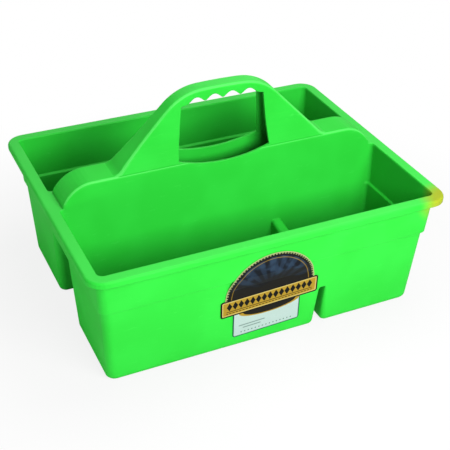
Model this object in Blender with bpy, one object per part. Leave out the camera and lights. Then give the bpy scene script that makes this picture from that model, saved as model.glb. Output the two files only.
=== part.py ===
"""Grooming tote: a moulded two-compartment tote with a carrying handle, and the label on its front.

Units are metres and +Z is up. The origin is on the table, under the middle of the tote. X runs
along the tote, and the front wall, which carries the label, faces -Y.
"""
import math

import bmesh
import bpy
from mathutils import Matrix

# Outside sizes of the tote
RIM_LENGTH = 0.420
RIM_WIDTH = 0.329
RIM_HEIGHT = 0.1508
BASE_END_INSET = 0.0208
BASE_SIDE_INSET = 0.0251

# Walls of the moulding
WALL = 0.003
FLOOR = 0.003
INNER_CORNER = 0.007
RIDGE_CORNER = 0.005
FLOOR_FILLET = 0.004
BOTTOM_ROUND = 0.0065
LIP_ROUND = 0.0015

# Small inward step that runs round the three outer walls of each compartment
LEDGE_SHARE = 0.652
LEDGE_STEP = 0.0025
LEDGE_RISE = 0.002

# Rim: a flat land turned down into a skirt
RIM_LAND = 0.0137
RIM_THICKNESS = 0.003
RIM_ROUND = 0.003
SKIRT_DROP = 0.0072
SKIRT_WALL = 0.0028

# Hollow ridge between the two tubs
RIDGE_RISE = 0.0252
RIDGE_TOP_THICKNESS = 0.037
RIDGE_BASE_THICKNESS = 0.0706
RIDGE_END_RADIUS = 0.038
RIDGE_END_INSET = 0.0035
RIDGE_EDGE = 0.003
CHANNEL_CORNER = 0.009

# Handle on the ridge
HANDLE_RISE = 0.0823
HANDLE_FOOT_SPAN = 0.257
HANDLE_SLOPE = math.radians(45.8)
HANDLE_FOOT_FILLET = 0.018
HANDLE_BEND_RADIUS = 0.060
GRIP_CROWN_RADIUS = 0.600
HANDLE_FOOT_THICKNESS = 0.0362
GRIP_THICKNESS = 0.020
HANDLE_FLARE = 2.8
HANDLE_EDGE = 0.0035

# Hand window through both walls of the handle, with finger grooves along its top
WINDOW_SILL_SPAN = 0.1125
WINDOW_TOP_SPAN = 0.0997
WINDOW_SILL_RISE = 0.0014
WINDOW_SILL_DIP = 0.0088
GRIP_END_DEPTH = 0.0155
GRIP_DEPTH = 0.0145
GROOVE_PITCH = 0.0213
GROOVE_DEPTH = 0.0060
GROOVE_COUNT = 4
GROOVE_SOFTNESS = 0.3

# Low divider across each compartment, hollow below
DIVIDER_OFFSET = 0.0655
DIVIDER_RIDGE_HEIGHT = 0.0785
DIVIDER_WALL_HEIGHT = 0.0590
CHANNEL_TOP_WIDTH = 0.0075
CHANNEL_TOP_EDGE = 0.001
CHANNEL_DRAFT = math.radians(1.2)
DIVIDER_EDGE = 0.004
NOTCH_CORNER = 0.0075
NOTCH_CORNER_FADE = 0.7

# Die-cut label on the front wall
LABEL_CENTRE = -0.0019
LABEL_TILT = math.radians(2.2)
LABEL_TOP_MARGIN = 0.0240
LABEL_BOTTOM_MARGIN = 0.0177
LABEL_DOME_SHARE = 0.498
LABEL_DOME_SINK = 0.0023
LABEL_BAND_SHARE = 0.2168
LABEL_SHOULDER = 0.0051
LABEL_PANEL_SHARE = 0.759
LABEL_PANEL_SHIFT = -0.0031
LABEL_BRIDGE = 0.012
LABEL_CORNER = 0.003
LABEL_THICKNESS = 0.0004
LABEL_GAP = 0.0003

# How finely curves are cut
CORNER_STEPS = 7
ROUND_STEPS = 4
SHARP_ANGLE = math.radians(32)

# Where two solids meet, tools run past a face by BEYOND or stop a few hairs short of it, so
# that no two faces coincide
BEYOND = 0.010
HAIR = 0.0001

# Sizes that follow from the ones above
RIDGE_HEIGHT = RIM_HEIGHT + RIDGE_RISE
OVERALL_HEIGHT = RIDGE_HEIGHT + HANDLE_RISE
LEDGE_HEIGHT = RIM_HEIGHT * LEDGE_SHARE
INNER_RIM_LENGTH = RIM_LENGTH - 2 * RIM_LAND
INNER_RIM_WIDTH = RIM_WIDTH - 2 * RIM_LAND
WALL_CORNER = INNER_CORNER + WALL
RIM_CORNER = INNER_CORNER + RIM_LAND
RIDGE_HALF_LENGTH = INNER_RIM_LENGTH / 2 - RIDGE_END_INSET
UNDER_RIM = RIM_HEIGHT - RIM_THICKNESS
IN_FLOOR = FLOOR - 3 * HAIR

LIME = (0.045, 0.80, 0.07, 1.0)
LABEL_INK = (0.012, 0.014, 0.022, 1.0)


def clear_scene():
    for old in list(bpy.data.objects):
        bpy.data.objects.remove(old, do_unlink=True)


def plastic(name, colour, roughness):
    material = bpy.data.materials.new(name)
    material.use_nodes = True
    shader = material.node_tree.nodes["Principled BSDF"]
    shader.inputs["Base Color"].default_value = colour
    shader.inputs["Roughness"].default_value = roughness
    shader.inputs["Metallic"].default_value = 0.0
    return material


def as_object(name, bm):
    """Closes a bmesh into an object with outward faces."""
    bmesh.ops.recalc_face_normals(bm, faces=bm.faces)
    mesh = bpy.data.meshes.new(name)
    bm.to_mesh(mesh)
    bm.free()
    made = bpy.data.objects.new(name, mesh)
    bpy.context.collection.objects.link(made)
    return made


def combine(target, tool, operation):
    """Applies one exact Boolean and removes the tool."""
    cut = target.modifiers.new(operation.lower(), "BOOLEAN")
    cut.operation = operation
    cut.solver = "EXACT"
    cut.object = tool
    bpy.context.view_layer.update()
    shaped = bpy.data.meshes.new_from_object(target.evaluated_get(bpy.context.evaluated_depsgraph_get()))
    target.modifiers.clear()
    target.data = shaped
    bpy.data.objects.remove(tool, do_unlink=True)


def turn(target, angle, x, y):
    """Turns a tool about Z and moves it, in its mesh."""
    target.data.transform(Matrix.Translation((x, y, 0.0)) @ Matrix.Rotation(angle, 4, "Z"))


# Drafted faces, as functions of height

def outer_half(rim, base_inset, height):
    """Half size of the drafted outer wall, which steps out a little at the ledge."""
    base = rim / 2 - base_inset
    top = rim / 2 - RIM_LAND + WALL - LEDGE_STEP
    step = LEDGE_STEP * min(max((height - LEDGE_HEIGHT) / LEDGE_RISE, 0.0), 1.0)
    return base + (top - base) * height / RIM_HEIGHT + step


def outer_half_length(height):
    return outer_half(RIM_LENGTH, BASE_END_INSET, height)


def outer_half_width(height):
    return outer_half(RIM_WIDTH, BASE_SIDE_INSET, height)


def ridge_half(height):
    share = height / RIDGE_HEIGHT
    return (RIDGE_BASE_THICKNESS + (RIDGE_TOP_THICKNESS - RIDGE_BASE_THICKNESS) * share) / 2


def handle_half(height):
    share = min(max((height - RIDGE_HEIGHT) / (OVERALL_HEIGHT - RIDGE_HEIGHT), 0.0), 1.0)
    return (GRIP_THICKNESS + (HANDLE_FOOT_THICKNESS - GRIP_THICKNESS) * (1 - share) ** HANDLE_FLARE) / 2


def channel_half(height):
    """Half width of the channel between the tubs."""
    return ridge_half(height) - WALL + bottom_flare(height)


def bottom_flare(height):
    """How far a channel's side stands back at the table, where the tubs' edges are rounded."""
    if height >= BOTTOM_ROUND:
        return 0.0
    below = BOTTOM_ROUND - max(height, 0.0)
    return BOTTOM_ROUND - math.sqrt(BOTTOM_ROUND ** 2 - below ** 2)


def flare_levels(steps):
    """Heights at which a flare bends. Each channel has its own steps, so that no two edges coincide."""
    bends = [BOTTOM_ROUND * (1 - math.cos(math.pi / 2 * step / steps)) for step in range(1, steps)]
    return [0.0] + bends + [BOTTOM_ROUND + HAIR * steps / 5]


def crown_height(x):
    return OVERALL_HEIGHT - GRIP_CROWN_RADIUS + math.sqrt(GRIP_CROWN_RADIUS ** 2 - x * x)


def groove(x):
    """Rise of the grip's underside into a finger groove, with soft points between the grooves."""
    wave = math.sin(math.pi * x / GROOVE_PITCH)
    full = math.sqrt(1 + GROOVE_SOFTNESS ** 2) - GROOVE_SOFTNESS
    return GROOVE_DEPTH * (math.sqrt(wave * wave + GROOVE_SOFTNESS ** 2) - GROOVE_SOFTNESS) / full


# Outlines

def arc(centre_x, centre_y, radius, start, end, steps):
    points = []
    for step in range(steps + 1):
        angle = start + (end - start) * step / steps
        points.append((centre_x + radius * math.cos(angle), centre_y + radius * math.sin(angle)))
    return points


def rounded_rectangle(low_x, high_x, low_y, high_y, low_y_radius, high_y_radius):
    """Anticlockwise outline. The corners on the low Y side have one radius, the others another."""
    points = []
    corners = (
        (high_x, low_y, -1, 1, low_y_radius, -90),
        (high_x, high_y, -1, -1, high_y_radius, 0),
        (low_x, high_y, 1, -1, high_y_radius, 90),
        (low_x, low_y, 1, 1, low_y_radius, 180),
    )
    for x, y, side_x, side_y, radius, turn in corners:
        start = math.radians(turn)
        centre_x, centre_y = x + side_x * radius, y + side_y * radius
        points += arc(centre_x, centre_y, radius, start, start + math.pi / 2, CORNER_STEPS)
    return points


def inset(points, distance):
    """Moves a closed anticlockwise outline inwards along its mitres."""
    moved = []
    count = len(points)
    for index in range(count):
        before, here, after = points[index - 1], points[index], points[(index + 1) % count]
        first = unit_normal(before, here)
        second = unit_normal(here, after)
        sum_x, sum_y = first[0] + second[0], first[1] + second[1]
        scale = 2 * distance / (sum_x * sum_x + sum_y * sum_y)
        moved.append((here[0] + sum_x * scale, here[1] + sum_y * scale))
    return moved


def unit_normal(start, end):
    """Inward normal of an edge of an anticlockwise outline."""
    run_x, run_y = end[0] - start[0], end[1] - start[1]
    length = math.hypot(run_x, run_y)
    return -run_y / length, run_x / length


def mirrored(half):
    """Completes an outline from its +X half, given from the bottom up to the middle."""
    return half + [(-x, z) for x, z in reversed(half) if x > 1e-6]


# Solids

def loft(name, rings):
    """Skins closed rings of equal count and caps the first and the last."""
    bm = bmesh.new()
    loops = [[bm.verts.new(point) for point in ring] for ring in rings]
    count = len(loops[0])
    for lower, upper in zip(loops, loops[1:]):
        for index in range(count):
            following = (index + 1) % count
            bm.faces.new((lower[index], lower[following], upper[following], upper[index]))
    bm.faces.new(list(reversed(loops[0])))
    bm.faces.new(loops[-1])
    return as_object(name, bm)


def upright_plate(name, outline, half_at, edge, levels):
    """A plate standing in the XZ plane, whose half thickness follows the height.

    The outline's edges are rounded, and the faces are split at the levels so that a curved
    taper bends there.
    """
    flat_half = 1.0
    rings = []
    for step in range(ROUND_STEPS + 1):
        angle = math.pi / 2 * step / ROUND_STEPS
        depth = edge * (1 - math.cos(angle))
        shrunk = inset(outline, edge * (1 - math.sin(angle))) if edge else outline
        rings.append([(x, -flat_half + depth, z) for x, z in shrunk])
        if not edge:
            break
    rings += [[(x, -y, z) for x, y, z in ring] for ring in reversed(rings)]
    plate = loft(name, rings)
    bm = bmesh.new()
    bm.from_mesh(plate.data)
    for level in levels:
        everything = bm.verts[:] + bm.edges[:] + bm.faces[:]
        bmesh.ops.bisect_plane(bm, geom=everything, plane_co=(0, 0, level), plane_no=(0, 0, 1), dist=1e-7)
    ends = [min(z for x, z in outline), max(z for x, z in outline)]
    bands = sorted(ends + [level for level in levels if ends[0] < level < ends[1]])
    for vert in bm.verts:
        thickness = abs(vert.co.y) - flat_half + banded(half_at, bands, vert.co.z)
        vert.co.y = math.copysign(thickness, vert.co.y)
    bmesh.ops.triangulate(bm, faces=bm.faces[:])
    bm.to_mesh(plate.data)
    bm.free()
    return plate


def banded(half_at, bands, height):
    """The half thickness read off straight lines between the bands, so that the faces stay flat."""
    for low, high in zip(bands, bands[1:]):
        if height <= high or high == bands[-1]:
            share = (height - low) / (high - low)
            return half_at(low) * (1 - share) + half_at(high) * share


def tub_blank():
    """Outside of the two tubs as one block, up to halfway through the rim."""
    heights = [BOTTOM_ROUND, LEDGE_HEIGHT, LEDGE_HEIGHT + LEDGE_RISE, UNDER_RIM + RIM_THICKNESS / 2]
    rings = []
    for step in range(ROUND_STEPS):
        angle = math.pi / 2 * step / ROUND_STEPS
        height = BOTTOM_ROUND * (1 - math.cos(angle))
        rings.append(wall_ring(height, BOTTOM_ROUND * (1 - math.sin(angle))))
    rings += [wall_ring(height, 0.0) for height in heights]
    return loft("tote_moulding", rings)


def wall_ring(height, tuck):
    """Outside of the walls at one height, tucked in where the bottom edge is rounded."""
    length, width = outer_half_length(height) - tuck, outer_half_width(height) - tuck
    radius = WALL_CORNER - tuck * 0.5
    return [(x, y, height) for x, y in rounded_rectangle(-length, length, -width, width, radius, radius)]


def rim_blank():
    """Rim land and skirt as one block with a rounded top edge."""
    rings = [rim_ring(RIM_HEIGHT - SKIRT_DROP, 0.0)]
    for step in range(ROUND_STEPS + 1):
        angle = math.pi / 2 * step / ROUND_STEPS
        height = RIM_HEIGHT - RIM_ROUND * (1 - math.sin(angle))
        rings.append(rim_ring(height, RIM_ROUND * (1 - math.cos(angle))))
    return loft("rim_blank", rings)


def rim_ring(height, tuck):
    """Outside of the rim at one height, moved in by the tuck."""
    length, width, radius = RIM_LENGTH / 2 - tuck, RIM_WIDTH / 2 - tuck, RIM_CORNER - tuck
    return [(x, y, height) for x, y in rounded_rectangle(-length, length, -width, width, radius, radius)]


def rim_groove():
    """Space under the rim, out to the inside of the skirt."""
    low = RIM_HEIGHT - SKIRT_DROP - BEYOND
    return loft("rim_groove", [rim_ring(low, SKIRT_WALL), rim_ring(UNDER_RIM, SKIRT_WALL)])


def compartment(side):
    """Inside of one tub: side is -1 for the front one and +1 for the rear one."""
    rings = []
    for step in range(ROUND_STEPS + 1):
        angle = math.pi / 2 * step / ROUND_STEPS
        height = FLOOR + FLOOR_FILLET * (1 - math.cos(angle))
        rings.append(compartment_ring(side, height, FLOOR_FILLET * (1 - math.sin(angle)), 0.0))
    for height in (LEDGE_HEIGHT, LEDGE_HEIGHT + LEDGE_RISE, RIM_HEIGHT - LIP_ROUND):
        rings.append(compartment_ring(side, height, 0.0, 0.0))
    rings.append(compartment_ring(side, RIM_HEIGHT - LIP_ROUND / 4, 0.0, LIP_ROUND / 3))
    rings.append(compartment_ring(side, RIM_HEIGHT + RIM_ROUND, 0.0, LIP_ROUND * 2))
    return loft("compartment", rings)


def compartment_ring(side, height, tuck, flare):
    """Outline at one height. Beside the ridge it runs half a hair into it, so the ridge's face shows."""
    length = outer_half_length(height) - WALL - tuck + flare
    far = outer_half_width(height) - WALL - tuck + flare
    near = ridge_half(height) - HAIR / 2 + tuck
    if side < 0:
        outline = rounded_rectangle(-length, length, -far, -near, INNER_CORNER, RIDGE_CORNER)
    else:
        outline = rounded_rectangle(-length, length, near, far, RIDGE_CORNER, INNER_CORNER)
    return [(x, y, height) for x, y in outline]


def ridge_outline(shrink):
    """Side view of the ridge from a given depth under its skin, with the ends turned down to the rim."""
    radius = RIDGE_END_RADIUS - shrink
    centre_z = RIDGE_HEIGHT - RIDGE_END_RADIUS
    end_angle = math.asin((RIM_HEIGHT - centre_z) / RIDGE_END_RADIUS)
    centre_x = RIDGE_HALF_LENGTH - RIDGE_END_RADIUS * math.cos(end_angle)
    return arc(centre_x, centre_z, radius, end_angle, math.pi / 2, CORNER_STEPS + 2)


def ridge_blank():
    """The ridge's ends stop inside the end walls below the rim, and inside the rim's land above it."""
    heights = (IN_FLOOR, LEDGE_HEIGHT, LEDGE_HEIGHT + LEDGE_RISE, UNDER_RIM)
    half = [(outer_half_length(height) - WALL / 2, height) for height in heights]
    return upright_plate("ridge_blank", mirrored(half + ridge_outline(0.0)), ridge_half, RIDGE_EDGE, [])


def ridge_hollow():
    """The channel between the tubs and the hollow of the ridge above it, open below.

    Up to the ledge the channel runs out at both ends. Above it the end walls close it off.
    """
    roof, ledge_top = LEDGE_HEIGHT - 5 * HAIR, LEDGE_HEIGHT + LEDGE_RISE
    reach = RIM_LENGTH / 2
    half = [(reach, -BEYOND), (reach, roof)]
    for height in (roof, LEDGE_HEIGHT, ledge_top, UNDER_RIM):
        half.append((outer_half_length(height) - WALL, height))
    curve = [point for point in ridge_outline(WALL) if point[1] > UNDER_RIM + 5 * HAIR]
    half += [(curve[0][0] + 8 * HAIR, UNDER_RIM)] + curve
    return upright_plate("ridge_hollow", mirrored(half), channel_half, 0.0, flare_levels(ROUND_STEPS + 1))


def channel_mouth(half_at, wall_at, corner_at, top, steps):
    """Rounds the upright corners where a channel comes out through a wall.

    It is drawn in a frame of its own, with X out of the wall and Y across the channel. Near the
    table the corner's centre stands back with the rounded bottom edges.
    """
    beyond = RIM_LENGTH / 2 + BEYOND
    rings = []
    for level in [-BEYOND] + [level for level in flare_levels(steps) if level < top] + [top]:
        height = max(level, 0.0)
        flare = bottom_flare(height)
        corner = max(corner_at(height) - flare, 4 * HAIR)
        out, across = wall_at(height) - flare - corner, half_at(height) + flare + corner
        bend = arc(out, across, corner + HAIR, -math.pi / 2, 0.0, CORNER_STEPS)
        ring = [(x, -y) for x, y in bend] + [(beyond, -across), (beyond, across)] + bend[::-1]
        rings.append([(x, y, level) for x, y in ring])
    return loft("channel_mouth", rings)


def end_mouth(side):
    """Rounds the tubs' corners at one end of the channel between them, up to the ledge."""
    mouth = channel_mouth(lambda height: ridge_half(height) - WALL, outer_half_length,
                          lambda height: CHANNEL_CORNER, LEDGE_HEIGHT - 4 * HAIR, ROUND_STEPS + 3)
    turn(mouth, 0.0 if side > 0 else math.pi, 0.0, 0.0)
    return mouth


def notch_mouth(side):
    """Rounds the corners where a cross channel comes out through the front or the rear wall."""
    top = DIVIDER_WALL_HEIGHT - WALL - CHANNEL_TOP_EDGE * 2
    mouth = channel_mouth(lambda height: CHANNEL_TOP_WIDTH / 2 + (top - height) * math.tan(CHANNEL_DRAFT),
                          outer_half_width,
                          lambda height: NOTCH_CORNER * (1 - NOTCH_CORNER_FADE * height / top),
                          top, ROUND_STEPS + 4)
    turn(mouth, side * math.pi / 2, -side * DIVIDER_OFFSET, 0.0)
    return mouth


def handle_outline():
    """Side view of the handle: a crowned grip, wide bends, straight legs and filleted feet."""
    foot_x, foot_z = HANDLE_FOOT_SPAN / 2, RIDGE_HEIGHT - 5 * HAIR
    lean = math.pi - HANDLE_SLOPE
    along = (math.cos(lean), math.sin(lean))
    inward = (-along[1], along[0])
    crown_z = OVERALL_HEIGHT - GRIP_CROWN_RADIUS
    start_x = foot_x + HANDLE_BEND_RADIUS * inward[0]
    start_z = foot_z + HANDLE_BEND_RADIUS * inward[1] - crown_z
    reach = GRIP_CROWN_RADIUS - HANDLE_BEND_RADIUS
    middle = start_x * along[0] + start_z * along[1]
    run = -middle + math.sqrt(middle ** 2 - start_x ** 2 - start_z ** 2 + reach ** 2)
    bend_x, bend_z = start_x + run * along[0], start_z + run * along[1] + crown_z
    crown_angle = math.atan2(bend_z - crown_z, bend_x)
    fillet_run = HANDLE_FOOT_FILLET * math.tan(HANDLE_SLOPE / 2)
    fillet = arc(foot_x + fillet_run, foot_z + HANDLE_FOOT_FILLET, HANDLE_FOOT_FILLET,
                 -math.pi / 2, -math.pi / 2 - HANDLE_SLOPE, CORNER_STEPS)
    bend = arc(bend_x, bend_z, HANDLE_BEND_RADIUS,
               math.pi / 2 - HANDLE_SLOPE, crown_angle, CORNER_STEPS + 3)
    crown = arc(0.0, crown_z, GRIP_CROWN_RADIUS, crown_angle, math.pi / 2, 3)
    low = RIDGE_HEIGHT - 4 * WALL
    return mirrored([(fillet[0][0], low)] + fillet + bend + crown[1:])


def handle_levels():
    """Heights at which the handle's taper bends, closest together at its foot."""
    rise = OVERALL_HEIGHT - RIDGE_HEIGHT
    return [RIDGE_HEIGHT + rise * share for share in (0.0, 0.06, 0.13, 0.21, 0.31, 0.45, 0.65)]


def handle_blank():
    return upright_plate("handle_blank", handle_outline(), handle_half, HANDLE_EDGE, handle_levels())


def handle_hollow():
    return upright_plate("handle_hollow", inset(handle_outline(), WALL),
                         lambda height: handle_half(height) - WALL, 0.0, handle_levels())


def window_cutter():
    """Hand window: a dished sill, leaning sides and finger grooves under the grip."""
    sill = WINDOW_SILL_SPAN / 2
    top = WINDOW_TOP_SPAN / 2
    dip_radius = (sill ** 2 + WINDOW_SILL_DIP ** 2) / (2 * WINDOW_SILL_DIP)
    dip_angle = math.asin(sill / dip_radius)
    low = RIDGE_HEIGHT + WINDOW_SILL_RISE - WINDOW_SILL_DIP
    bottom = arc(0.0, low + dip_radius, dip_radius, -math.pi / 2 - dip_angle, -math.pi / 2 + dip_angle, 12)
    upper = []
    steps = 12 * GROOVE_COUNT
    grooved = GROOVE_PITCH * GROOVE_COUNT / 2
    for step in range(steps + 1):
        x = grooved - 2 * grooved * step / steps
        upper.append((x, crown_height(x) - GRIP_DEPTH + groove(x)))
    end_z = crown_height(top) - GRIP_END_DEPTH
    outline = bottom + [(top, end_z)] + upper + [(-top, end_z)]
    return upright_plate("window", outline, lambda height: RIDGE_BASE_THICKNESS / 2, 0.0, [])


def divider_outline(width_top, top):
    """End view of a divider, as across and height, anticlockwise from its foot in the floor."""
    foot = width_top / 2 + (top - IN_FLOOR) * math.tan(CHANNEL_DRAFT)
    edge = DIVIDER_EDGE
    half = arc(width_top / 2 - edge, top - edge, edge, CHANNEL_DRAFT, math.pi / 2, ROUND_STEPS)
    return mirrored([(foot, IN_FLOOR)] + half)


def divider_blank(side):
    """Divider from halfway into the ridge's wall to halfway into the outer wall."""
    width = CHANNEL_TOP_WIDTH + 2 * WALL
    near = divider_outline(width, DIVIDER_RIDGE_HEIGHT)
    far = divider_outline(width, DIVIDER_WALL_HEIGHT)
    rings = [
        [(-side * DIVIDER_OFFSET + x, side * (ridge_half(z) - WALL / 2), z) for x, z in near],
        [(-side * DIVIDER_OFFSET + x, side * (outer_half_width(z) - WALL / 2), z) for x, z in far],
    ]
    return loft("divider", rings)


def cross_channel(side):
    """Space under a divider, from the middle channel out through the wall."""
    ridge_face, wall_face = ridge_half(DIVIDER_RIDGE_HEIGHT), outer_half_width(DIVIDER_WALL_HEIGHT)
    slope = (DIVIDER_RIDGE_HEIGHT - DIVIDER_WALL_HEIGHT) / (wall_face - ridge_face)
    rings = []
    for y in (ridge_face - 2 * WALL, RIM_WIDTH / 2):
        top = DIVIDER_WALL_HEIGHT - WALL - slope * (y - wall_face)
        rings.append([(-side * DIVIDER_OFFSET + x, side * y, z) for x, z in channel_outline(top)])
    return loft("cross_channel", rings)


def channel_outline(top):
    """End view of a cross channel, flaring at the table like the middle channel."""
    half = [(channel_across(top, -BEYOND), -BEYOND)]
    half += [(channel_across(top, level), level) for level in flare_levels(ROUND_STEPS + 2)]
    edge = CHANNEL_TOP_EDGE
    half += arc(CHANNEL_TOP_WIDTH / 2 - edge, top - edge, edge, CHANNEL_DRAFT, math.pi / 2, 2)
    return mirrored(half)


def channel_across(top, height):
    return CHANNEL_TOP_WIDTH / 2 + (top - max(height, 0.0)) * math.tan(CHANNEL_DRAFT) + bottom_flare(height)


def build_moulding():
    """One moulding: tubs, rim, dividers, ridge and handle joined, then the hollows opened below."""
    tote = tub_blank()
    rim = rim_blank()
    combine(rim, rim_groove(), "DIFFERENCE")
    combine(tote, rim, "UNION")
    combine(tote, compartment(-1), "DIFFERENCE")
    combine(tote, compartment(1), "DIFFERENCE")
    combine(tote, divider_blank(-1), "UNION")
    combine(tote, divider_blank(1), "UNION")
    combine(tote, ridge_blank(), "UNION")
    combine(tote, handle_blank(), "UNION")
    combine(tote, ridge_hollow(), "DIFFERENCE")
    combine(tote, handle_hollow(), "DIFFERENCE")
    combine(tote, cross_channel(-1), "DIFFERENCE")
    combine(tote, cross_channel(1), "DIFFERENCE")
    for side in (-1, 1):
        combine(tote, end_mouth(side), "DIFFERENCE")
        combine(tote, notch_mouth(side), "DIFFERENCE")
    combine(tote, window_cutter(), "DIFFERENCE")
    tote.data.shade_smooth()
    tote.data.set_sharp_from_angle(angle=SHARP_ANGLE)
    tote.data.materials.clear()
    tote.data.materials.append(plastic("lime_polyethylene", LIME, 0.42))
    return tote


def label_heights():
    """Lower edge, foot and top of the band, and top of the dome."""
    low, top = LABEL_BOTTOM_MARGIN, RIM_HEIGHT - LABEL_TOP_MARGIN
    band_high = top - (top - low) * LABEL_DOME_SHARE + LABEL_DOME_SINK
    return low, band_high - (top - low) * LABEL_BAND_SHARE, band_high, top


def label_outline():
    """Die-cut outline: a dome over a wide band over a narrower panel, which sits a little to the left."""
    low, band_low, band_high, top = label_heights()
    radius, corner = (top - low) * LABEL_DOME_SHARE, LABEL_CORNER
    band, panel = radius + LABEL_SHOULDER, radius * LABEL_PANEL_SHARE
    half = arc(panel - corner, low + corner, corner, -math.pi / 2, 0.0, 3)
    half += [(panel, band_low)]
    half += arc(band - corner, band_low + corner, corner, -math.pi / 2, 0.0, 3)
    half += arc(band - corner, band_high - corner, corner, 0.0, math.pi / 2, 3)
    half += arc(0.0, top - radius, radius, math.asin(LABEL_DOME_SINK / radius), math.pi / 2, 20)
    return [(x + LABEL_PANEL_SHIFT, z) if z <= band_low and abs(x) <= panel else (x, z)
            for x, z in mirrored(half)]


def label_back(height):
    """Where the label's back lies. It bridges the ledge from a little below it."""
    start, end = LEDGE_HEIGHT - LABEL_BRIDGE, LEDGE_HEIGHT + LEDGE_RISE
    share = min(max((height - start) / (end - start), 0.0), 1.0)
    if 0.0 < share < 1.0:
        wall = outer_half_width(start) * (1 - share) + outer_half_width(end) * share
    else:
        wall = outer_half_width(height)
    return -wall - LABEL_GAP


def build_label():
    """A thin film with the label's outline, tilted a little and laid along the front wall."""
    low, band_low, band_high, top = label_heights()
    middle_z = (band_low + band_high) / 2
    turned = []
    for x, z in label_outline():
        across, up = x, z - middle_z
        turned.append((LABEL_CENTRE + across * math.cos(LABEL_TILT) - up * math.sin(LABEL_TILT),
                       middle_z + across * math.sin(LABEL_TILT) + up * math.cos(LABEL_TILT)))
    bm = bmesh.new()
    bm.faces.new([bm.verts.new((x, 0.0, z)) for x, z in turned])
    for level in (LEDGE_HEIGHT - LABEL_BRIDGE, LEDGE_HEIGHT + LEDGE_RISE):
        everything = bm.verts[:] + bm.edges[:] + bm.faces[:]
        bmesh.ops.bisect_plane(bm, geom=everything, plane_co=(0, 0, level), plane_no=(0, 0, 1), dist=1e-7)
    sheet = bmesh.ops.extrude_face_region(bm, geom=bm.faces[:])
    fronts = [item for item in sheet["geom"] if isinstance(item, bmesh.types.BMVert)]
    for vert in bm.verts:
        vert.co.y = label_back(vert.co.z)
    for vert in fronts:
        vert.co.y -= LABEL_THICKNESS
    label = as_object("label", bm)
    label.data.materials.append(plastic("label_film", LABEL_INK, 0.35))
    return label


clear_scene()
build_moulding()
build_label()
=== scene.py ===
import math

import bpy
from mathutils import Matrix, Vector

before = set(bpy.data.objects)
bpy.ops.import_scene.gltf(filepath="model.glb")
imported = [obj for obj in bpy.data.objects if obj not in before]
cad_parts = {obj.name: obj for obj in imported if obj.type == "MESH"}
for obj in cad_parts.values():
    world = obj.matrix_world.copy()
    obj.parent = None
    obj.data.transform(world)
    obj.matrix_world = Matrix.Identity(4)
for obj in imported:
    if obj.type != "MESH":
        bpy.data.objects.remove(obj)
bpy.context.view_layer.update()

# Moulding: the whole tote, injection moulded in one piece from lime polyethylene, with nothing screwed
# or snapped to it. The mould leaves a fine satin grain, and the thin walls wander a little as they cool.
# Handling scuffs the walls and leaves the round edges a little glossier. The round edges and the up-facing
# tops of rim and grip are painted lighter as highlights, the upper rounds the most.
LIME = (0.034, 0.80, 0.057, 1.0)
LIME_DEEP = (0.025, 0.71, 0.041, 1.0)
# A paler lime for scuffs and for painted highlights on edges and tops, and a paler one still for the
# painted highlight on the upper rounds
LIME_SCUFF_AND_HIGHLIGHT = (0.085, 0.90, 0.115, 1.0)
LIME_PAINTED_HIGHLIGHT = (0.16, 0.92, 0.19, 1.0)
# A yellow tint on the rim's right front corner
CORNER_YELLOW = (0.43, 0.52, 0.022, 1.0)

# Sizes, reliefs and heights, in metres
GRAIN_SIZE = 0.00045
GRAIN_RELIEF = 0.00002
WANDER_SIZE = 0.045
WANDER_RELIEF = 0.0006
EDGE_SOFTNESS = 0.0012
RIM_FROM = (0.140, 0.148)
RIM_END = (0.152, 0.156)
GRIP_FROM = (0.230, 0.245)
# The middle of the corner's yellow tint, and the distances over which it fades out
YELLOW_TINT_CENTRE = (0.212, -0.168, 0.147)
YELLOW_TINT_REACH = (0.044, 0.020)

# Where each mask of the surface begins and is full, and how the scuffs are drawn out and turned
WANDER_DEEP = (0.35, 0.65)
SCUFF_MARKS = (0.60, 0.74)
SCUFF_STRETCH = (60.0, 60.0, 260.0)
SCUFF_TURN = (0.3, 0.2, 0.5)
EDGE_TURN = (0.995, 0.86)
CREST_TILT = (0.25, 0.50)
TOP_FACING = (0.75, 0.97)
GLOSS_RANGE = (0.3, 0.7)

# Gloss, and how dark the plastic is to light that has already bounced once, so that the tubs stay deep
SATIN_ROUGHNESS = (0.45, 0.52)
POLISH_GAIN = 0.08
SCUFF_LOSS = 0.05
PLASTIC_IOR = 1.5
PLASTIC_SHINE = 0.15
BOUNCE_TONE = (0.26, 0.26, 0.26, 1.0)


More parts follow.
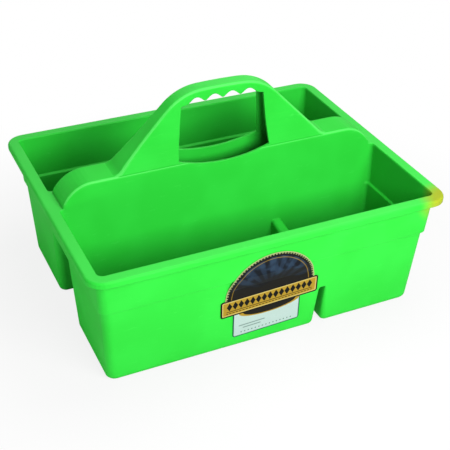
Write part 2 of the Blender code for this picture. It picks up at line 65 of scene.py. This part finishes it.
class Nodes:
    """Adds nodes to one tree and joins their sockets. A value may be a number or another node's output."""

    def __init__(self, tree):
        self.tree = tree

    def join(self, output, socket):
        self.tree.links.new(output, socket)

    def add(self, kind, inputs=None, **settings):
        """Adds one node with its settings and inputs, and gives back its outputs."""
        node = self.tree.nodes.new(kind)
        for key, value in settings.items():
            setattr(node, key, value)
        for key, value in (inputs or {}).items():
            if isinstance(value, bpy.types.NodeSocket):
                self.join(value, node.inputs[key])
            else:
                node.inputs[key].default_value = value
        return node.outputs

    def math(self, operation, first, second=0.0):
        return self.add("ShaderNodeMath", {0: first, 1: second}, operation=operation)[0]

    def plus(self, first, second):
        return self.math("ADD", first, second)

    def minus(self, first, second):
        return self.math("SUBTRACT", first, second)

    def times(self, first, second):
        return self.math("MULTIPLY", first, second)

    def over(self, first, second):
        return self.math("DIVIDE", first, second)

    def axes(self, vector):
        """The X, Y and Z of a vector, each by its name."""
        return self.add("ShaderNodeSeparateXYZ", {0: vector})

    def ramp(self, value, low, high, start=0.0, end=1.0):
        """A smooth step from start, where the value is low, to end, where it is high."""
        limits = {"Value": value, "From Min": low, "From Max": high, "To Min": start, "To Max": end}
        return self.add("ShaderNodeMapRange", limits, interpolation_type="SMOOTHSTEP")["Result"]

    def mix(self, share, first, second, blend="MIX"):
        colours = {0: share, 6: first, 7: second}
        return self.add("ShaderNodeMix", colours, data_type="RGBA", blend_type=blend)[2]

    def noise(self, place, scale, detail, roughness):
        inputs = {"Vector": place, "Scale": scale, "Detail": detail, "Roughness": roughness}
        return self.add("ShaderNodeTexNoise", inputs)["Fac"]

    def bump(self, height, strength, relief, normal=None):
        inputs = {"Height": height, "Strength": strength, "Distance": relief}
        if normal is not None:
            inputs["Normal"] = normal
        return self.add("ShaderNodeBump", inputs)[0]


def new_group(name, inputs, outputs):
    """An empty node group, its node kit, the sockets that it is given and those that it puts out."""
    tree = bpy.data.node_groups.new(name, "ShaderNodeTree")
    for label, kind, value in inputs:
        socket = tree.interface.new_socket(label, in_out="INPUT", socket_type=kind)
        if value is not None:
            socket.default_value = value
    for label, kind in outputs:
        tree.interface.new_socket(label, in_out="OUTPUT", socket_type=kind)
    given = tree.nodes.new("NodeGroupInput").outputs
    made = tree.nodes.new("NodeGroupOutput").inputs
    return tree, Nodes(tree), given, made


def new_material(name, kit):
    """A new material, its node kit and its Principled shader."""
    material = bpy.data.materials.new(name)
    material.use_nodes = True
    return material, kit(material.node_tree), material.node_tree.nodes["Principled BSDF"]


def moulded_grain():
    """Heights of a moulded surface's fine grain and slow wander, and a mask of faint scuffs."""
    tree, nodes, given, made = new_group(
        "moulded_grain",
        [("Position", "NodeSocketVector", None), ("Grain Size", "NodeSocketFloat", 0.0005),
         ("Wander Size", "NodeSocketFloat", 0.04)],
        [("Grain", "NodeSocketFloat"), ("Wander", "NodeSocketFloat"), ("Scuffs", "NodeSocketFloat")])
    place = given["Position"]
    fine = nodes.noise(place, nodes.over(1.0, given["Grain Size"]), detail=2.0, roughness=0.55)
    slow = nodes.noise(place, nodes.over(1.0, given["Wander Size"]), detail=1.0, roughness=0.4)
    drawn_out = {"Vector": place, "Scale": SCUFF_STRETCH, "Rotation": SCUFF_TURN}
    stretched = nodes.add("ShaderNodeMapping", drawn_out)[0]
    marks = nodes.noise(stretched, scale=1.0, detail=4.0, roughness=0.7)
    nodes.join(fine, made["Grain"])
    nodes.join(slow, made["Wander"])
    nodes.join(nodes.ramp(marks, *SCUFF_MARKS), made["Scuffs"])
    return tree


def edge_highlight_masks():
    """Masks of edges, used to paint highlights. Edge is where a rounded normal turns away from the face's
    own. Crest is the upper part of a round that runs from side to side."""
    tree, nodes, given, made = new_group(
        "edge_highlight_masks",
        [("Rounded Normal", "NodeSocketVector", None), ("Normal", "NodeSocketVector", None)],
        [("Edge", "NodeSocketFloat"), ("Crest", "NodeSocketFloat")])
    both_normals = {0: given["Rounded Normal"], 1: given["Normal"]}
    turned = nodes.add("ShaderNodeVectorMath", both_normals, operation="DOT_PRODUCT")["Value"]
    nodes.join(nodes.ramp(turned, *EDGE_TURN), made["Edge"])
    faced = nodes.axes(given["Normal"])
    upward = nodes.ramp(faced["Z"], *CREST_TILT)
    outward = nodes.ramp(nodes.math("ABSOLUTE", faced["Y"]), *CREST_TILT)
    nodes.join(nodes.times(upward, outward), made["Crest"])
    return tree


def polyethylene(grain, edges):
    """Satin lime plastic, with its colour drift, its scuffs, painted highlights on its edges and tops, and
    a yellow tint at the rim's corner.
    """
    material, nodes, shader = new_material("lime_polyethylene_satin", Nodes)
    place = nodes.add("ShaderNodeTexCoord")["Object"]
    normal = nodes.add("ShaderNodeNewGeometry")["Normal"]
    rounded = nodes.add("ShaderNodeBevel", {"Radius": EDGE_SOFTNESS}, samples=4)[0]
    sizes = {"Position": place, "Grain Size": GRAIN_SIZE, "Wander Size": WANDER_SIZE}
    surface = nodes.add("ShaderNodeGroup", sizes, node_tree=grain)
    edge_highlights = nodes.add("ShaderNodeGroup", {"Rounded Normal": rounded, "Normal": normal}, node_tree=edges)

    level = nodes.axes(place)["Z"]
    rim = nodes.times(nodes.ramp(level, *RIM_FROM), nodes.ramp(level, *reversed(RIM_END)))
    rim_and_grip = nodes.plus(rim, nodes.ramp(level, *GRIP_FROM))
    # Painted highlight: faces that look up at the heights of rim and grip are painted lighter, as light
    # from above makes them
    painted_top_light = nodes.times(nodes.ramp(nodes.axes(normal)["Z"], *TOP_FACING), rim_and_grip)
    # Painted highlight on the upper part of the round edges above the rim
    crest = nodes.times(edge_highlights["Crest"], nodes.ramp(level, *RIM_END))
    # The wander and the scuffs are the plastic's own tones; the edge, top and crest masks paint highlights
    tones = [(nodes.ramp(surface["Wander"], *WANDER_DEEP), 0.5, LIME_DEEP),
             (surface["Scuffs"], 0.3, LIME_SCUFF_AND_HIGHLIGHT),
             (edge_highlights["Edge"], 0.35, LIME_SCUFF_AND_HIGHLIGHT),
             (painted_top_light, 0.6, LIME_SCUFF_AND_HIGHLIGHT),
             (crest, 0.5, LIME_PAINTED_HIGHLIGHT)]
    base = LIME
    for mask, share, tone in tones:
        base = nodes.mix(nodes.times(mask, share), base, tone)
    to_corner = {0: place, 1: YELLOW_TINT_CENTRE}
    away = nodes.add("ShaderNodeVectorMath", to_corner, operation="DISTANCE")["Value"]
    base = nodes.mix(nodes.ramp(away, *YELLOW_TINT_REACH), base, CORNER_YELLOW)
    bounced = nodes.add("ShaderNodeLightPath")["Is Diffuse Ray"]
    nodes.join(nodes.mix(bounced, base, BOUNCE_TONE, "MULTIPLY"), shader.inputs["Base Color"])

    rough = nodes.ramp(surface["Grain"], *GLOSS_RANGE, *SATIN_ROUGHNESS)
    rough = nodes.minus(rough, nodes.times(nodes.math("MAXIMUM", edge_highlights["Edge"], crest), POLISH_GAIN))
    rough = nodes.plus(rough, nodes.times(surface["Scuffs"], SCUFF_LOSS))
    nodes.join(rough, shader.inputs["Roughness"])
    waved = nodes.bump(surface["Wander"], strength=1.0, relief=WANDER_RELIEF, normal=rounded)
    grained = nodes.bump(surface["Grain"], strength=0.5, relief=GRAIN_RELIEF, normal=waved)
    nodes.join(grained, shader.inputs["Normal"])
    shader.inputs["IOR"].default_value = PLASTIC_IOR
    shader.inputs["Specular IOR Level"].default_value = PLASTIC_SHINE
    return material


grain = moulded_grain()
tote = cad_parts["tote_moulding"]
tote.data.materials.clear()
tote.data.materials.append(polyethylene(grain, edge_highlight_masks()))

# Label: a die-cut film stuck on the front wall, printed and varnished. Its print is a generic one: a dark
# dome with rays over hills, a gold band of lozenges, and a pale panel inside a teal border.
NIGHT = (0.002, 0.004, 0.008, 1.0)
MIST = (0.028, 0.062, 0.115, 1.0)
DUSK = (0.007, 0.006, 0.004, 1.0)
CREAM = (0.42, 0.50, 0.20, 1.0)
GOLD = (0.44, 0.28, 0.022, 1.0)
PALE_GOLD = (0.66, 0.52, 0.15, 1.0)
INK = (0.003, 0.003, 0.002, 1.0)
PAPER = (0.52, 0.68, 0.63, 1.0)
TEAL = (0.012, 0.10, 0.07, 1.0)

# Where the label is, in metres, and the unevenness of its film
LABEL_CENTRE = (-0.0019, 0.0, 0.0630)
LABEL_TILT = math.radians(2.2)
MILLIMETRES = 1000.0
FILM_GRAIN = 0.0003
FILM_GRAIN_RELIEF = 0.00001
FILM_WANDER = 0.009
FILM_WANDER_RELIEF = 0.00008
FILM_ROUGHNESS = (0.28, 0.38)
FILM_SHINE = 0.12
INK_GRAIN = (0.25, 0.75)
INK_STRENGTH = (0.90, 1.08)

# The print is measured in millimetres from the label's middle, and angles in radians. A share is how
# strongly a mark covers what is under it. A hill has its height, swell, run and share.
PRINT_EDGE = 0.18

# Dome
DOME_CENTRE = 9.5
DOME_RADIUS = 54.3
RAY_PITCH = math.radians(18.0)
RAY_SIDES = (math.radians(6.5), math.radians(2.5))
RAY_REACH = (10.0, 40.0)
RAY_SHARE = 0.40
CLOUD_MOTTLE = (0.40, 0.66)
CLOUD_LEVEL = (24.0, 40.0)
CLOUD_SHARE = 0.55
HILLS = ((30.0, 3.5, 13.0, 0.55), (22.0, 2.5, 8.0, 0.95))
GOLD_RING = (47.4, 46.6)
GOLD_RING_SHARE = 0.6
INK_RING = (49.0, 49.4)
TICK_PITCH = math.radians(4.0)
TICK_HALF = 0.8
TICK_FROM = (51.2, 51.6)
TICK_SHARE = 0.8
CREAM_RING = (DOME_RADIUS - 1.4, DOME_RADIUS - 1.0)

# Panel
PANEL_MIDDLE = (-3.1, -24.8)
PANEL_HALF = (41.2, 20.5)
PANEL_CORNER = 3.0
PANEL_BORDER = (-1.5, -1.1)
DOT_PITCH = 4.4
DOT_LEVEL = -40.0
DOT_RADIUS = 0.9
DOT_ROW_HALF = 34.0
DOT_SHARE = 0.75
LINES = ((-30.0, 16.0), (-34.0, 11.0))
LINE_MIDDLE = -18.0
LINE_HALF = 0.7
LINE_CORNER = 0.5
LINE_SHARE = 0.65
FOOT_LEVEL = -11.8
FOOT_HALF = (37.0, 9.5)
FOOT_GOLD = (1.02, 1.0)
FOOT_DUSK = (0.88, 0.86)

# Band
BAND_HALF = (59.4, 11.8)
BAND_CORNER = 3.0
BAND_RIM = (0.15, 0.0)
BAND_LINE = (-1.7, -3.0)
BAND_OUTLINE = (-1.9, -1.6)
ROW_HALF = 52.5
LOZENGE_PITCH = 7.0
LOZENGE_LEVEL = 2.4
LOZENGE_HALF = (3.3, 5.6)
LOZENGE_EDGE = (1.08, 0.96)
RULE_LEVEL = -4.4
RULE_HALF = 0.45
DASH_PITCH = 4.0
DASH_LEVEL = -6.9
DASH_HALF = (1.3, 0.6)
DASH_SHARE = 0.85


class PrintNodes(Nodes):
    """Draws flat shapes in millimetres as masks with a slightly soft edge."""

    def inside(self, distance, edge):
        """Full where the distance is less than the edge, and nothing past it."""
        return self.ramp(distance, edge + PRINT_EDGE, edge - PRINT_EDGE)

    def stripe(self, distance, outer, inner):
        """Full between the inner and outer edges only."""
        past_inner = self.ramp(distance, inner - PRINT_EDGE, inner + PRINT_EDGE)
        return self.times(self.inside(distance, outer), past_inner)

    def from_row(self, value, pitch):
        """How far a value is from the nearest of a row of points, each a pitch apart."""
        return self.math("PINGPONG", value, pitch / 2)

    def either_side(self, value):
        """Distance from the middle, the same on both sides of it."""
        return self.math("ABSOLUTE", value)

    def length(self, first, second):
        return self.math("SQRT", self.plus(self.times(first, first), self.times(second, second)))

    def rounded_box(self, across, up, half, corner):
        """Distance outside a box with round corners, negative inside."""
        out_x = self.minus(self.either_side(across), half[0] - corner)
        out_y = self.minus(self.either_side(up), half[1] - corner)
        outside = self.length(self.math("MAXIMUM", out_x, 0.0), self.math("MAXIMUM", out_y, 0.0))
        within = self.math("MINIMUM", self.math("MAXIMUM", out_x, out_y), 0.0)
        return self.minus(self.plus(outside, within), corner)


def dome_print(nodes, across, up, mottle):
    """Night sky with faint rays over low hills, a gold ring, and a dark ring of ticks in a cream edge."""
    rise = nodes.minus(up, DOME_CENTRE)
    reach = nodes.length(across, rise)
    angle = nodes.math("ARCTAN2", across, rise)
    ray = nodes.ramp(nodes.from_row(angle, RAY_PITCH), *RAY_SIDES)
    rays = nodes.times(ray, nodes.ramp(reach, *RAY_REACH))
    cloud = nodes.times(nodes.ramp(mottle, *CLOUD_MOTTLE), nodes.ramp(up, *CLOUD_LEVEL))
    base = nodes.mix(nodes.times(rays, RAY_SHARE), NIGHT, MIST)
    base = nodes.mix(nodes.times(cloud, CLOUD_SHARE), base, MIST)
    for height, swell, run, share in HILLS:
        skyline = nodes.plus(height, nodes.times(swell, nodes.math("SINE", nodes.over(across, run))))
        hill = nodes.inside(nodes.minus(up, skyline), 0.0)
        base = nodes.mix(nodes.times(hill, share), base, DUSK)
    ring = nodes.stripe(reach, *GOLD_RING)
    base = nodes.mix(nodes.times(ring, GOLD_RING_SHARE), base, GOLD)
    base = nodes.mix(nodes.ramp(reach, *INK_RING), base, INK)
    tick = nodes.times(nodes.from_row(angle, TICK_PITCH), DOME_RADIUS)
    ticks = nodes.times(nodes.inside(tick, TICK_HALF), nodes.ramp(reach, *TICK_FROM))
    base = nodes.mix(nodes.times(ticks, TICK_SHARE), base, CREAM)
    return nodes.mix(nodes.ramp(reach, *CREAM_RING), base, CREAM)


def panel_print(nodes, across, up):
    """Pale ground in a thin teal border, with two ruled lines, a dotted line and the foot of the dome."""
    aside = nodes.minus(across, PANEL_MIDDLE[0])
    distance = nodes.rounded_box(aside, nodes.minus(up, PANEL_MIDDLE[1]), PANEL_HALF, PANEL_CORNER)
    base = nodes.mix(nodes.ramp(distance, *PANEL_BORDER), PAPER, TEAL)
    spot = nodes.length(nodes.from_row(aside, DOT_PITCH), nodes.minus(up, DOT_LEVEL))
    within_row = nodes.inside(nodes.either_side(aside), DOT_ROW_HALF)
    dots = nodes.times(nodes.inside(spot, DOT_RADIUS), within_row)
    base = nodes.mix(nodes.times(dots, DOT_SHARE), base, TEAL)
    for height, half in LINES:
        line = nodes.rounded_box(nodes.minus(aside, LINE_MIDDLE), nodes.minus(up, height),
                                 (half, LINE_HALF), LINE_CORNER)
        base = nodes.mix(nodes.times(nodes.inside(line, 0.0), LINE_SHARE), base, TEAL)
    foot = nodes.length(nodes.over(across, FOOT_HALF[0]),
                        nodes.over(nodes.minus(up, FOOT_LEVEL), FOOT_HALF[1]))
    base = nodes.mix(nodes.ramp(foot, *FOOT_GOLD), base, GOLD)
    return nodes.mix(nodes.ramp(foot, *FOOT_DUSK), base, DUSK)


def band_print(nodes, across, up, distance):
    """Gold ground in a dark outline, with a pale line, a row of lozenges, a rule and a row of dashes."""
    row = nodes.inside(nodes.either_side(across), ROW_HALF)
    high = nodes.either_side(nodes.minus(up, LOZENGE_LEVEL))
    lozenge = nodes.plus(nodes.over(nodes.from_row(across, LOZENGE_PITCH), LOZENGE_HALF[0]),
                         nodes.over(high, LOZENGE_HALF[1]))
    base = nodes.mix(nodes.times(nodes.ramp(lozenge, *LOZENGE_EDGE), row), GOLD, INK)
    rule = nodes.stripe(nodes.minus(up, RULE_LEVEL), RULE_HALF, -RULE_HALF)
    base = nodes.mix(nodes.times(rule, row), base, INK)
    dashes = nodes.times(nodes.inside(nodes.from_row(across, DASH_PITCH), DASH_HALF[0]),
                         nodes.stripe(nodes.minus(up, DASH_LEVEL), DASH_HALF[1], -DASH_HALF[1]))
    base = nodes.mix(nodes.times(nodes.times(dashes, row), DASH_SHARE), base, INK)
    base = nodes.mix(nodes.stripe(distance, *BAND_LINE), base, PALE_GOLD)
    return nodes.mix(nodes.ramp(distance, *BAND_OUTLINE), base, INK)


def printed_film():
    """The print, laid out from the label's own tilted middle, under a semi-gloss varnish."""
    material, nodes, shader = new_material("label_print", PrintNodes)
    place = nodes.add("ShaderNodeTexCoord")["Object"]
    moved = nodes.add("ShaderNodeVectorMath", {0: place, 1: LABEL_CENTRE}, operation="SUBTRACT")[0]
    tilt = {"Vector": moved, "Angle": LABEL_TILT}
    turned = nodes.add("ShaderNodeVectorRotate", tilt, rotation_type="Y_AXIS")[0]
    scaled = nodes.add("ShaderNodeVectorMath", {0: turned, "Scale": MILLIMETRES}, operation="SCALE")[0]
    flat = nodes.axes(scaled)
    across, up = flat["X"], flat["Z"]
    sizes = {"Position": place, "Grain Size": FILM_GRAIN, "Wander Size": FILM_WANDER}
    surface = nodes.add("ShaderNodeGroup", sizes, node_tree=grain)

    dome = dome_print(nodes, across, up, surface["Wander"])
    panel = panel_print(nodes, across, up)
    base = nodes.mix(nodes.inside(up, 0.0), dome, panel)
    band = nodes.rounded_box(across, up, BAND_HALF, BAND_CORNER)
    base = nodes.mix(nodes.ramp(band, *BAND_RIM), base, band_print(nodes, across, up, band))
    ink = nodes.ramp(surface["Grain"], *INK_GRAIN, *INK_STRENGTH)
    nodes.join(nodes.mix(1.0, base, ink, "MULTIPLY"), shader.inputs["Base Color"])

    rough = nodes.ramp(surface["Wander"], *GLOSS_RANGE, *FILM_ROUGHNESS)
    nodes.join(rough, shader.inputs["Roughness"])
    waved = nodes.bump(surface["Wander"], strength=0.6, relief=FILM_WANDER_RELIEF)
    grained = nodes.bump(surface["Grain"], strength=0.4, relief=FILM_GRAIN_RELIEF, normal=waved)
    nodes.join(grained, shader.inputs["Normal"])
    shader.inputs["Specular IOR Level"].default_value = FILM_SHINE
    return material


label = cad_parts["label"]
label.data.materials.clear()
label.data.materials.append(printed_film())

# Studio: a plain pale paper floor that keeps a soft shadow and fades to white away from the tote. A broad
# key lamp stands in front, with one high on the right and one overhead. Two weak fills are low on the
# left, and one is behind. The camera, gloss and glass see the world as plain white.
WHITE = (1.0, 1.0, 1.0, 1.0)
FLOOR_REACH = 6.0
FLOOR_PAPER = (0.80, 0.80, 0.80, 1.0)
FLOOR_ROUGHNESS = 0.9
FLOOR_SHINE = 0.1
FLOOR_SEEN = (0.95, 0.95, 0.95, 1.0)
FLOOR_WHITE = 0.86
FLOOR_FADE = (0.25, 0.50)
ROOM_LIGHT = 0.09
LAMP_DISTANCE = 1.0
LAMP_AIM = Vector((0.0, 0.0, 0.10))

corners = [(-FLOOR_REACH, -FLOOR_REACH, 0), (FLOOR_REACH, -FLOOR_REACH, 0),
           (FLOOR_REACH, FLOOR_REACH, 0), (-FLOOR_REACH, FLOOR_REACH, 0)]
floor_mesh = bpy.data.meshes.new("floor")
floor_mesh.from_pydata(corners, [], [(0, 1, 2, 3)])
floor = bpy.data.objects.new("floor", floor_mesh)
bpy.context.scene.collection.objects.link(floor)

paper, nodes, shader = new_material("floor_paper", Nodes)
shader.inputs["Base Color"].default_value = FLOOR_PAPER
shader.inputs["Roughness"].default_value = FLOOR_ROUGHNESS
shader.inputs["Specular IOR Level"].default_value = FLOOR_SHINE
seen = nodes.add("ShaderNodeLightPath")["Is Camera Ray"]
white = nodes.add("ShaderNodeEmission", {"Color": WHITE, "Strength": 1.0})[0]
pale = nodes.add("ShaderNodeBsdfDiffuse", {"Color": FLOOR_SEEN})[0]
place = nodes.add("ShaderNodeTexCoord")["Object"]
away = nodes.add("ShaderNodeVectorMath", {0: place}, operation="LENGTH")["Value"]
whiteness = nodes.ramp(away, *FLOOR_FADE, FLOOR_WHITE, 1.0)
shown = nodes.add("ShaderNodeMixShader", {0: whiteness, 1: pale, 2: white})[0]
joined = nodes.add("ShaderNodeMixShader", {0: seen, 1: shader.outputs[0], 2: shown})[0]
nodes.join(joined, paper.node_tree.nodes["Material Output"].inputs["Surface"])
floor_mesh.materials.append(paper)

world = bpy.data.worlds.new("studio")
world.use_nodes = True
bpy.context.scene.world = world
nodes = Nodes(world.node_tree)
room = world.node_tree.nodes["Background"]
room.inputs["Color"].default_value = WHITE
room.inputs["Strength"].default_value = ROOM_LIGHT
backdrop = nodes.add("ShaderNodeBackground", {"Color": WHITE, "Strength": 1.0})[0]
path = nodes.add("ShaderNodeLightPath")
seen = nodes.math("MAXIMUM", path["Is Camera Ray"], path["Is Glossy Ray"])
seen = nodes.math("MAXIMUM", seen, path["Is Transmission Ray"])
joined = nodes.add("ShaderNodeMixShader", {0: seen, 1: room.outputs[0], 2: backdrop})[0]
nodes.join(joined, world.node_tree.nodes["World Output"].inputs["Surface"])


def direction(bearing, height):
    """Unit vector from the tote towards this bearing from its front and this height, in radians."""
    level = math.cos(height)
    return Vector((math.sin(bearing) * level, -math.cos(bearing) * level, math.sin(height)))


def soft_lamp(name, bearing, height, size, power, glossy=True):
    """A rectangular lamp aimed at the tote, with its bearing and height in degrees."""
    lamp = bpy.data.lights.new(name, "AREA")
    lamp.shape = "RECTANGLE"
    lamp.size, lamp.size_y = size
    lamp.energy = power
    holder = bpy.data.objects.new(name, lamp)
    bpy.context.scene.collection.objects.link(holder)
    holder.location = LAMP_DISTANCE * direction(math.radians(bearing), math.radians(height))
    holder.rotation_euler = (LAMP_AIM - holder.location).to_track_quat("-Z", "Y").to_euler()
    holder.visible_camera = False
    holder.visible_glossy = glossy


soft_lamp("key_lamp", bearing=7.0, height=35.0, size=(0.6, 0.34), power=7.7)
soft_lamp("high_right_lamp", bearing=88.0, height=70.0, size=(0.5, 0.5), power=1.8)
soft_lamp("overhead_lamp", bearing=0.0, height=88.0, size=(0.5, 0.5), power=1.3)
soft_lamp("left_fill", bearing=-105.0, height=4.0, size=(0.5, 0.12), power=1.3, glossy=False)
soft_lamp("low_left_fill", bearing=-58.0, height=4.0, size=(0.4, 0.12), power=0.9, glossy=False)
soft_lamp("back_fill", bearing=160.0, height=25.0, size=(0.5, 0.5), power=1.0, glossy=False)

# Camera: it stands where the photograph was taken from, about 1.2 m from the tote and well above it.
# Its angles are in radians, and its focal length is in pixels of the photograph's frame.
BEARING = -0.4451701
HEIGHT = 0.5828100
ROLL = 0.0228212
STANDPOINT = (-0.412627, -0.887037, 0.714005)
FOCAL_PIXELS = 970.758
FRAME_PIXELS = 450
SENSOR_WIDTH = 36.0

towards = direction(BEARING, HEIGHT)
level = Vector((math.cos(BEARING), math.sin(BEARING), 0.0))
upward = towards.cross(level)
right = math.cos(ROLL) * level + math.sin(ROLL) * upward
top = -math.sin(ROLL) * level + math.cos(ROLL) * upward
stand = Matrix((right, top, towards)).transposed().to_4x4()
stand.translation = Vector(STANDPOINT)
camera = bpy.data.cameras.new("camera")
camera.sensor_width = SENSOR_WIDTH
camera.lens = FOCAL_PIXELS * SENSOR_WIDTH / FRAME_PIXELS
holder = bpy.data.objects.new("camera", camera)
bpy.context.scene.collection.objects.link(holder)
holder.matrix_world = stand
bpy.context.scene.camera = holder
bpy.context.scene.view_settings.view_transform = "Standard"
